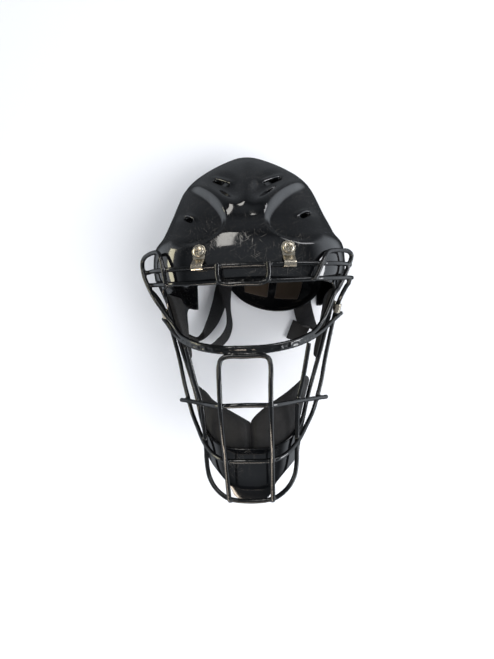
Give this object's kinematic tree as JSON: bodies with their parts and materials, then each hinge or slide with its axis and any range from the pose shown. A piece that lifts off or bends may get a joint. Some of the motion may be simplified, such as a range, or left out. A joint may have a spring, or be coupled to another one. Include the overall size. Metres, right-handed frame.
{
  "type": "catcher helmet",
  "caption": "Hockey-style catcher helmet lying on its back: glossy black moulded shell, black welded wire cage, nickel clips, foam pads, a rear plate and elastic straps.",
  "frame": {"origin": "middle of the helmet's outline, on the surface that its back rests on", "axes": "+Z out of the face, +Y from the chin to the crown, +X to the right as seen from in front of the face"},
  "size_m": [0.2302, 0.3824, 0.2518],
  "materials": {
    "shell_gloss": "glossy injection-moulded black plastic with fine scratches",
    "cage_coat": "steel wire dipped in glossy black vinyl",
    "nickel": "nickel-plated pressed steel",
    "pad_foam": "matte black cloth-faced foam",
    "side_foam": "dark brown-grey fabric-faced foam",
    "brown_foam": "dark brown fabric-faced foam",
    "elastic": "matte black woven elastic"
  },
  "bodies": {
    "root": {"shell": "shell_gloss", "cage": "cage_coat", "clip_left": "nickel", "clip_screw_left": "nickel", "side_clip_left": "nickel", "side_screw_left": "nickel", "side_pad_left": "side_foam", "chin_pad_left": "pad_foam", "clip_right": "nickel", "clip_screw_right": "nickel", "side_clip_right": "nickel", "side_screw_right": "nickel", "side_pad_right": "side_foam", "chin_pad_right": "pad_foam", "back_plate": "shell_gloss", "back_pad_left": "brown_foam", "back_pad_right": "brown_foam", "strap_left_upper": "elastic", "strap_left_lower": "elastic", "strap_right": "elastic", "strap_right_end": "elastic"}
  },
  "joints": []
}
